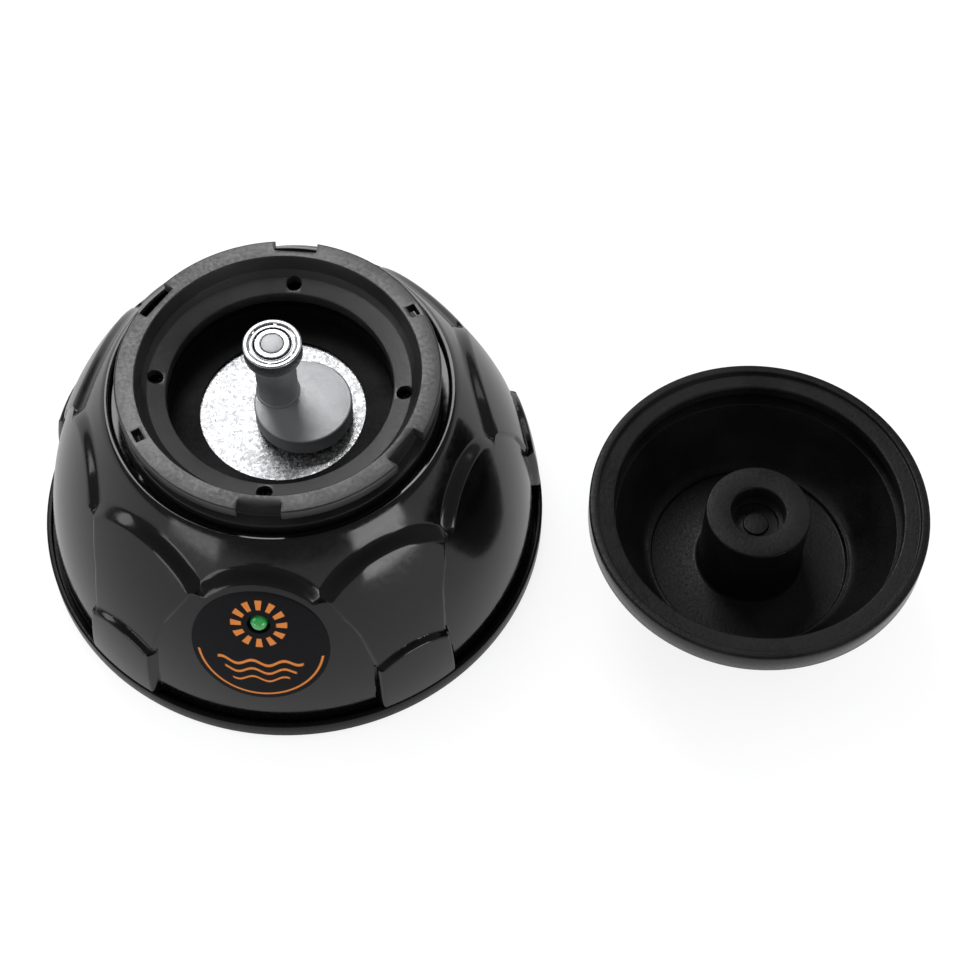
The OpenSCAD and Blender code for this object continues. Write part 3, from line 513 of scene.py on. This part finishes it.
Z_TO_X = Matrix.Rotation(math.pi / 2, 4, "Y")
Z_TO_MINUS_Y = Matrix.Rotation(math.pi / 2, 4, "X")
SOCKET_Z = 13.6
LAMP_UP = 7.5  # mm above the label's middle, which is about 8 mm along the film
LAMP = on_side(-90, LABEL_Z + LAMP_UP, wide_r)
SWITCH = on_side(126, 22.0, wide_r)
SOCKET = turn_z(90) @ shift(lip_r(SOCKET_Z), 0, SOCKET_Z) @ Z_TO_X
carve(dome, [rod(2.6, -10, 10, matrix=LAMP),
             rod(4.2, -20, 20, matrix=SOCKET), rod(5.7, -1.4, 8, matrix=SOCKET),
             block((-6.7, -4.4, -20), (6.7, 4.4, 20), matrix=SWITCH)])
dress(smooth(dome, 38), "base", dome_gloss, "dome_shell", slot="dome_plastic")

# %% [markdown]
# ## Base tray
# The dome stands in a shallow tray, whose upright edge shows all round as a thin satin band below the
# dome's gloss. A spun section with rounded corners is the whole piece, and the screw holes are bored
# from below.

# %% Turn the tray
tray = turned("base_tray", softened([(0, 1), (60, 1, 0.5), (60, 5.6, 0.35), (58.8, 5.6, 0.3),
                                     (58.8, 3.4, 0.2), (0, 3.4)]), steps=192)
bores = []
for i in range(PANELS):
    spot = turn_z(PITCH_DEG * (i - 1)) @ shift(49)
    bores += [rod(1.7, 0, 4.4, matrix=spot), rod(3.0, 0, 1.5, matrix=spot)]
dress(smooth(rounded(carve(tray, bores), 0.15)), "base", tray_satin, "base_plate", slot="base_plastic")

# %% [markdown]
# ## Bayonet collar
# The cup snaps over the collar's lugs. The collar is turned as one section with its lug ring, and the
# four open notches and two locking slots are cut out of the ring afterwards, as the mould's cores do.

# %% Turn the collar and cut its notches
NECK_R, LUG_R = 33.2, 36.2  # mm, the radius below the lugs and over them
LUG_Z, TOP_Z = 59.3, 62.1  # the lugs' underside and the collar's top
NOTCHES, SLOTS = (-90, -30, 90, 150), (33, 213)  # degrees
SCREW_R = 27.9  # the circle of the collar's four screws
collar = turned("bayonet_collar_moulding", softened([
    (25.4, DECK_Z, 0), (36, DECK_Z, 0), (36, 56, 0.3), (NECK_R, 56, 0.25), (NECK_R, LUG_Z, 0.2),
    (LUG_R, LUG_Z, 0.3), (LUG_R, TOP_Z, 0.45), (31.7, TOP_Z, 0.4), (30.6, 58.8, 0.4), (29.5, 57.3, 0.4),
    (25.4, 56.4, 0.35)], 0.3, 4), steps=192)
cores = [block((NECK_R, -4.85, 58.8), (40, 4.85, 63), matrix=turn_z(a)) for a in NOTCHES]
cores += [block((33.0, -1.3, 58.8), (35.0, 1.9, 63), matrix=turn_z(a)) for a in SLOTS]
for i in range(4):
    cores += [rod(1.8, 54.3, 60, x=SCREW_R, matrix=turn_z(90 * i)),
              rod(1.4, 53, 56, x=SCREW_R, matrix=turn_z(90 * i))]
dress(smooth(rounded(carve(collar, cores), 0.22, 2, 50)), "base", collar_matt, "bayonet_collar",
      slot="collar_plastic")

# %% [markdown]
# ## Crank
# A sintered steel disc sits off centre on the motor's shaft. A post rises from it near the shaft, and the
# small distance between shaft and post is half of the cup's stroke. Both are round, so both are spun.

# %% Turn the disc and the post
PIN = (-0.8626, 1.6929)  # mm from the shaft
DISC_OFF, DISC_ANGLE = 5.1, math.radians(-9)
DISC = (DISC_OFF * math.cos(DISC_ANGLE), DISC_OFF * math.sin(DISC_ANGLE))
SHAFT_BORE = 1.61  # radius
disc = turned("crank_disc", softened([(0, 47.3), (11, 47.3, 0.4), (11, 52.1, 0.5), (0, 52.1)], 0.4, 4),
              at=DISC)
carve(disc, [rod(SHAFT_BORE, 46, 56.7),
             rod(1.5, 0, 30, matrix=turn_z(100) @ shift(0, 0, 49.7) @ Z_TO_X)])
dress(smooth(disc), "crank", crank_steel, "eccentric_crank", slot="crank_metal")
post = turned("crank_post", softened([
    (0, 52.0), (5.0, 52.0, 0), (5.0, 52.4, 0.15), (4.6, 52.75, 0.1), (4.6, 65.8, 0.35), (3.3, 65.8, 0.1),
    (3.3, 66.6, 0.1), (2.48, 66.6, 0), (2.48, 70.7, 0.3), (0, 70.7)], 0.3, 3),
    steps=96, at=PIN)
carve(post, [rod(SHAFT_BORE, 50, 56.7)])
dress(smooth(post), "crank", crank_steel, "eccentric_crank", slot="crank_metal")

# %% [markdown]
# ## Ball bearing
# The bearing's rings are hardened and ground, so they shine more than the crank. A pressed shield closes
# the gap between them. Its rim is crimped at a few places, which show as small marks round the edge.

# %% Turn the rings and the shields
LOW, HIGH = 66.6, 70.6  # mm, the rings' two faces
inner_ring = turned("bearing_inner_race",
                    softened([(2.5, LOW), (3.9, LOW), (3.9, HIGH), (2.5, HIGH, 0.45)], 0.3, 3),
                    steps=96, at=PIN)
dress(smooth(inner_ring), "crank", bearing_steel, "bearing_inner_ring", slot="bearing_steel")
outer_ring = turned("bearing_outer_race",
                    softened([(5.5, LOW), (6.5, LOW, 0.4), (6.5, HIGH, 0.4), (5.5, HIGH)], 0.2, 4),
                    steps=96, at=PIN)
dress(smooth(outer_ring), "bearing", bearing_steel, "bearing_outer_ring", slot="bearing_steel")
shield = turned("bearing_shield", softened([
    (4.25, 70.1), (5.49, 70.1), (5.49, 70.25), (5.2, 70.5), (5.0, 70.28), (4.6, 70.28), (4.45, 70.45),
    (4.25, 70.4)], 0.05, 2), steps=96, at=PIN)
marks = [block((5.12, -0.35, 70.42), (5.4, 0.35, 71), matrix=shift(*PIN) @ turn_z(30 + 60 * i))
         for i in range(6)]
carve(shield, marks)
lower = turned("bearing_lower_shield", [(4.15, 66.7), (5.49, 66.7), (5.49, 67.0), (4.15, 67.0)],
               steps=72, at=PIN)
carve(shield, [lower], "UNION")
dress(smooth(shield), "bearing", plated_steel, "bearing_shields", slot="bearing_steel")

# %% [markdown]
# ## Rubber cup
# The cup is one rubber moulding: a bowl with a hub in the middle whose bore grips the bearing, a groove
# inside the lip for the collar's lugs, and on the far side, now on the table, a recess for a bottle. The
# section goes once round the whole thing, with generous corners, since rubber moulds have no sharp ones.

# %% Turn the cup
SIDE_FOOT, SIDE_TOP, SIDE_BULGE = Vector((22.9, 0.5)), Vector((38.8, 29.5)), 0.4
RIM_R, RIM_Z = 38.8, 35  # mm
BOWL_R = 33  # the bowl is part of a ball of this radius
FLOOR_R, FLOOR_Z = 23.2, 11.2
HUB_R, HUB_Z = 12, 32.6
POINTS = 14  # parts into which each curve is divided


def cup_side():
    """The outer side as a shallow arc."""
    c, r = arc(SIDE_FOOT, SIDE_TOP, SIDE_BULGE)
    start, end = (math.atan2(v.y - c.y, v.x - c.x) for v in (SIDE_FOOT, SIDE_TOP))
    angles = [start + (end - start) * i / POINTS for i in range(POINTS + 1)]
    return [(c.x + r * math.cos(a), c.y + r * math.sin(a), 0) for a in angles]


def cup_bowl(lip_z=27.9, drop=16.2):
    """The bowl's wall, from the groove down to the edge of the floor."""
    centre_z = FLOOR_Z + math.sqrt(BOWL_R ** 2 - FLOOR_R ** 2)
    heights = [lip_z - drop * i / POINTS for i in range(1, POINTS)]
    return [(math.sqrt(BOWL_R ** 2 - (centre_z - z) ** 2), z, 0) for z in heights]


def cup_section():
    recess = [(0, 8), (17, 8, 0.8), (20, 0, 0.5), (22.2, 0, 0.5)]
    lip = [(RIM_R, RIM_Z, 0.6), (36.8, RIM_Z, 0.35), (36.8, 34, 0.3), (33, 34, 0.5), (33, 31, 0.3),
           (36.4, 31, 0.3), (36.4, 27.9, 0.3), (32.3, 27.9, 0.2)]
    floor_edge = [(23.9, 12.5, 0.15), (FLOOR_R, 12.5, 0.2), (23.0, FLOOR_Z, 0.5)]
    hub = [(HUB_R, FLOOR_Z, 1.2), (HUB_R, HUB_Z, 0.5), (6.3, HUB_Z, 0.4), (6.3, 28, 0.2), (5.2, 28, 0.2),
           (5.2, 26.6, 0.3), (2.9, 26.6, 0.15), (2.9, 27.2, 0.25), (0, 27.2)]
    return softened(recess + cup_side() + lip + cup_bowl() + floor_edge + hub, 0.3, 4)


cup = turned("rubber_cup_moulding", cup_section(), steps=192, at=CUP)
dress(smooth(cup, 40), "cup", cup_rubber, "rubber_cup", slot="cup_rubber")

# %% [markdown]
# ## Label and lamp
# The label is a round printed film with a plain design of this lesson's own in two colours: a ring of
# petals round the lamp, three waves and an arc. The film is a thin disc pressed onto the wall, with its own
# flat map, so that the print follows the film and not the room.

# %% Shape the label's film
LABEL = on_side(-90, LABEL_Z, wide_r)
FILM = 0.5  # mm thick
film_edge = [(0, 0), (LABEL_R, 0), (LABEL_R, FILM - 0.08), (LABEL_R - 0.08, FILM)]
film_top = [(LABEL_R - 1 - k, FILM) for k in range(15)] + [(0, FILM)]
label = turned("label_film_disc", film_edge + film_top, steps=128)
flat = label.data.uv_layers.new(name="flat")
for loop in label.data.loops:
    co = label.data.vertices[loop.vertex_index].co / MM
    flat.data[loop.index].uv = (0.5 + co.y / (2 * LABEL_R), 0.5 - co.x / (2 * LABEL_R))
for vertex in label.data.vertices:
    height = vertex.co.z / MM
    spot = LABEL @ Vector((vertex.co.x, vertex.co.y, 0)) / MM
    angle = math.atan2(spot.y, spot.x)
    r = wide_r(spot.z) + 0.02 + height * 0.96  # from just off the wall to 0.5 mm out
    vertex.co = (r * math.cos(angle) * MM, r * math.sin(angle) * MM, spot.z * MM)
carve(label, [rod(2.6, -10, 10, matrix=LAMP)])


# %% Print the label's own design on it
def label_look():
    """Matt black film with a burnt orange print. The map runs from 0 to 1 over the label's width."""
    film, ink = "#161618", "#c9793a"
    made = surface("printed_vinyl_film", film, 0.5, 0.4, 0.08, 0.006, IOR=1.5, Specular_IOR_Level=0.06)
    tree = made.node_tree
    skin = tree.nodes["Principled BSDF"]
    uv = add(tree, "UVMap", uv_map="flat").outputs["UV"]
    from_middle_mm = add(tree, "Mapping", {"Vector": uv, "Location": (-LABEL_R, -LABEL_R, 0),
                                           "Scale": (2 * LABEL_R, 2 * LABEL_R, 1)})
    axes = add(tree, "SeparateXYZ", {"Vector": from_middle_mm.outputs["Vector"]})
    x, y = axes.outputs["X"], axes.outputs["Y"]

    def maths(operation, a, b=0.0, c=0.0):
        return add(tree, "Math", {0: a, 1: b, 2: c}, operation=operation).outputs[0]

    def band(value, centre, half, edge=0.12):
        """1 where the value is within half of the centre, with a soft edge, in mm."""
        away = maths("ABSOLUTE", maths("SUBTRACT", value, centre))
        soft = add(tree, "MapRange", {"Value": away, "From Min": half + edge, "From Max": half - edge})
        return soft.outputs["Result"]

    def distance(a, b):
        return maths("SQRT", maths("ADD", maths("MULTIPLY", a, a), maths("MULTIPLY", b, b)))

    # Twelve petals: a ring round the lamp, shown where a cosine of the angle is high.
    lamp_along_film = 8.0
    up = maths("SUBTRACT", y, lamp_along_film)
    petal = maths("ABSOLUTE", maths("COSINE", maths("MULTIPLY", maths("ARCTAN2", up, x), 6.0)))
    parts = maths("MULTIPLY", band(distance(x, up), 5.1, 1.2), maths("GREATER_THAN", petal, 0.72))
    # Three waves, each shorter and thinner than the one above it.
    wave = maths("MULTIPLY", maths("SINE", maths("MULTIPLY", x, 0.9)), 0.75)
    for k in range(3):
        line = band(maths("ADD", y, wave), -3.4 - 2.7 * k, 0.42 - 0.06 * k)
        line = maths("MULTIPLY", line, band(x, 0.0, 9.6 - 1.6 * k, 0.2))
        parts = maths("MAXIMUM", parts, line)
    # One arc along the lower edge.
    arc_line = maths("MULTIPLY", band(distance(x, y), 14.3, 0.28), maths("LESS_THAN", y, -2.0))
    parts = maths("MAXIMUM", parts, arc_line)
    tint = add(tree, "MixRGB", {"Fac": parts, "Color1": hex_colour(film), "Color2": hex_colour(ink)})
    tree.links.new(tint.outputs["Color"], skin.inputs["Base Color"])
    return made


dress(smooth(label, 40), "base", label_look(), "label_disc", slot="label_film")

# %% Turn the lamp and give it its green lens
LENS_R, LENS_TOP = 2, 1.3  # mm: the lamp's radius, and how far its tip stands out of the wall
quarter = [math.pi / 2 * k / 12 for k in range(12)]
ball = [(LENS_R * math.cos(a), LENS_TOP - LENS_R + LENS_R * math.sin(a)) for a in quarter]
lamp = turned("lamp_lens", [(0, -4.6), (LENS_R, -4.6)] + ball + [(0, LENS_TOP)], steps=64)
carve(lamp, [rod(3.4, -4.63, -3.83)], "UNION")
placed(lamp, LAMP)
green_lens = surface("green_acrylic_lens", ("#1f7a35", "#3aa653"), 0.12, 0.8, 0.05, 0.01, IOR=1.49,
                     Coat_Weight=1.0, Coat_Roughness=0.03, Subsurface_Weight=0.3, Subsurface_Scale=0.002)
dress(smooth(lamp), "base", green_lens, "lamp", slot="green_lens")

# %% [markdown]
# ## Switch and power socket at the back
# The photograph shows only the front. Bench shakers have a rocker switch and a round socket for the power
# supply's lead at the back, so both are guessed there, with the rounded edges of such small mouldings.

# %% Shape the rocker switch
PIVOT = 1.5  # mm out of the wall
housing = carve(block((-7.5, -5.2, 1.2), (7.5, 5.2, 2.8)), [block((-6.5, -4.2, -8.8), (6.5, 4.2, 1.4))],
                "UNION")
carve(housing, [block((-6.0, -3.65, -4), (6.0, 3.65, 12)),
                rod(0.95, -3.9, 3.9, matrix=shift(0, 0, PIVOT) @ Z_TO_MINUS_Y)])
rounded(housing, 0.3, 3)
dress(smooth(placed(housing, SWITCH)), "base", tray_satin, "switch_housing", slot="mount_plastic")
KEY, KEY_FOOT = 5.3, 4.1  # mm, half the rocker's length above and below
rocker = block((-KEY, -3.5, -2), (KEY, 3.5, 2))
for vertex in rocker.data.vertices:
    if vertex.co.z < 0:
        vertex.co.x *= KEY_FOOT / KEY
finger_hollow = rod(24, -4, 4, matrix=shift(0, 0, 25.4) @ Z_TO_MINUS_Y, sides=160)
carve(rocker, [finger_hollow])
rounded(rocker, 0.35, 3)
carve(rocker, [rod(0.9, -3.8, 3.8, matrix=Z_TO_MINUS_Y)], "UNION")
bar = block((-3.6, -1.1, 1.2), (-3.2, 1.1, 3))
ring = carve(rod(1.1, 1.2, 3, x=3.3), [rod(0.75, 1, 3.2, x=3.3)])
carve(rocker, [bar, ring])
REST_TIP = math.radians(10)  # half of the 20 degrees that the rocker can tip, to its off side
placed(rocker, SWITCH @ shift(0, 0, PIVOT) @ Matrix.Rotation(REST_TIP, 4, "Y"))
dress(smooth(rocker), "rocker", rocker_red, "rocker", slot="rocker_red")

# %% Turn the power socket
socket = turned("power_socket_body", softened([
    (0, -14.4), (4, -14.4, 0.2), (4, -1.4, 0), (5.5, -1.4, 0.1), (5.5, 0.2, 0.3), (2.8, 0.2, 0.35),
    (2.8, -10, 0), (0, -10)], 0.2, 3), steps=96)
dress(smooth(placed(socket, SOCKET)), "base", inner_matt, "power_socket", slot="mount_plastic")

# %% [markdown]
# ## Nodes that keep their CAD shape
# The pieces inside the base, and the small ones that the CAD already has right, keep their solids and get
# the finish of what they are made of. They show when the cup, the crank or the camera moves.

# %% Give every remaining CAD node its finish
LOOKS = {
    "non_slip_pad": pad_rubber, "case_screws": plated_steel, "collar_screws": black_steel,
    "motor_mount": inner_matt, "motor_can": zinc, "motor_magnets": ferrite, "front_bush": bronze,
    "end_bell": inner_matt, "rear_bush": bronze, "motor_brushes": ferrite, "motor_terminals": brass,
    "clamp_bar": plated_steel, "clamp_screws": plated_steel, "motor_shaft": plated_steel,
    "armature_core": plated_steel, "armature_windings": copper, "commutator": copper,
    "set_screw": black_steel, "bearing_balls": bearing_steel, "lamp_board": board_green,
    "socket_contact_pin": brass, "socket_nut": plated_steel, "switch_terminals": brass,
    "supply_lead": lead_red, "motor_leads": lead_black, "lamp_leads": lead_black}
for name, look in LOOKS.items():
    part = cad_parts[name]
    part.data.materials.clear()
    part.data.materials.append(look)
print("CAD nodes with a finish:", len(LOOKS))

# %% [markdown]
# ## Table, backdrop and light
# The photograph was taken on a white sweep under large soft lamps. The sweep has to look white without
# more light falling on the object, so its material and the world show plain white to the camera only.
# Reflections see a dimmer paper and a dimmer room, and the floor keeps a soft shadow.

# %% Lay the floor and hang the backdrop
deselect()
bpy.ops.mesh.primitive_plane_add(size=6, location=(0.05, 0, 0))
floor = bpy.context.object
floor.name = "floor"
paper = bpy.data.materials.new("white_paper_sweep")
paper.use_nodes = True
tree = paper.node_tree
skin = tree.nodes["Principled BSDF"]
skin.inputs["Roughness"].default_value = 0.9
skin.inputs["Specular IOR Level"].default_value = 0.1
GLOW_TO_CAMERA, GLOW_TO_GLOSS = 0.75, 0.85  # how much of what each kind of ray sees is glow, not lit paper
GLOW_LEVEL, CAMERA_EXTRA = 0.63, 0.45  # the glow's strength, and what the camera sees on top of it
seen = add(tree, "LightPath")
to_camera, to_gloss = seen.outputs["Is Camera Ray"], seen.outputs["Is Glossy Ray"]
camera_share = add(tree, "Math", {0: to_camera, 1: GLOW_TO_CAMERA}, operation="MULTIPLY").outputs[0]
share = add(tree, "Math", {0: to_gloss, 1: GLOW_TO_GLOSS, 2: camera_share},
            operation="MULTIPLY_ADD").outputs[0]
level = add(tree, "Math", {0: to_camera, 1: CAMERA_EXTRA, 2: GLOW_LEVEL}, operation="MULTIPLY_ADD").outputs[0]
glow = add(tree, "Emission", {"Color": (1, 1, 1, 1), "Strength": level})
paper_mix = add(tree, "MixShader", {0: share, 1: skin.outputs[0], 2: glow.outputs[0]})
tree.links.new(paper_mix.outputs[0], tree.nodes["Material Output"].inputs["Surface"])
where = add(tree, "TexCoord").outputs["Object"]
fibre = add(tree, "TexNoise", {"Vector": where, "Scale": 900.0, "Detail": 2.0})
whites = ramp(tree, fibre.outputs["Fac"], [(0.3, "#fbfbfb"), (0.7, "#ffffff")])
tree.links.new(whites, skin.inputs["Base Color"])
floor.data.materials.append(paper)

world = bpy.data.worlds.new("studio")
bpy.context.scene.world = world
world.use_nodes = True
tree = world.node_tree
shade = tree.nodes["Background"]
seen = add(tree, "LightPath")
sky = add(tree, "SeparateXYZ", {"Vector": add(tree, "TexCoord").outputs["Generated"]}).outputs["Z"]
fade = ramp(tree, sky, [(0.0, 0.16), (0.3, 0.2), (0.6, 0.14), (0.9, 0.05)])
mirrored = add(tree, "Background", {"Color": fade, "Strength": 1.0})
diffuse = add(tree, "Background", {"Color": (0.97, 0.98, 1.0, 1), "Strength": 0.85})
ambient = add(tree, "MixShader", {0: seen.outputs["Is Glossy Ray"], 1: diffuse.outputs[0],
                                  2: mirrored.outputs[0]})
shade.inputs["Color"].default_value = (1, 1, 1, 1)
shade.inputs["Strength"].default_value = 1.0
mix = add(tree, "MixShader", {0: seen.outputs["Is Camera Ray"], 1: ambient.outputs[0], 2: shade.outputs[0]})
tree.links.new(mix.outputs[0], tree.nodes["World Output"].inputs["Surface"])


# %% Set the lamps
def softbox(name, place, aim, size, watts):
    """A rectangular lamp, in metres and watts, that faces a point. The camera can't see it."""
    data = bpy.data.lights.new(name, "AREA")
    data.shape, data.size, data.size_y, data.energy = "RECTANGLE", size[0], size[1], watts
    obj = bpy.data.objects.new(name, data)
    bpy.context.scene.collection.objects.link(obj)
    obj.location = place
    obj.rotation_euler = (Vector(aim) - Vector(place)).to_track_quat("-Z", "Y").to_euler()
    obj.visible_camera = False


softbox("left_box", (-0.6, 0.02, 0.36), (0, 0, 0.03), (0.3, 0.4), 0.9)
softbox("right_box", (0.6, 0.4, 0.4), (0.05, 0, 0.03), (0.3, 0.4), 0.4)
softbox("back_box", (-0.2, 0.53, 0.8), (0.0, 0, 0), (0.4, 0.42), 3.4)
softbox("low_right_box", (0.42, -0.35, 0.07), (0, 0, 0.05), (0.26, 0.13), 0.42)
softbox("low_left_box", (-0.34, -0.44, 0.07), (0, 0, 0.05), (0.24, 0.12), 0.2)
print("lamps set")

# %% Finish: set the view transform
bpy.context.scene.view_settings.view_transform = "Standard"
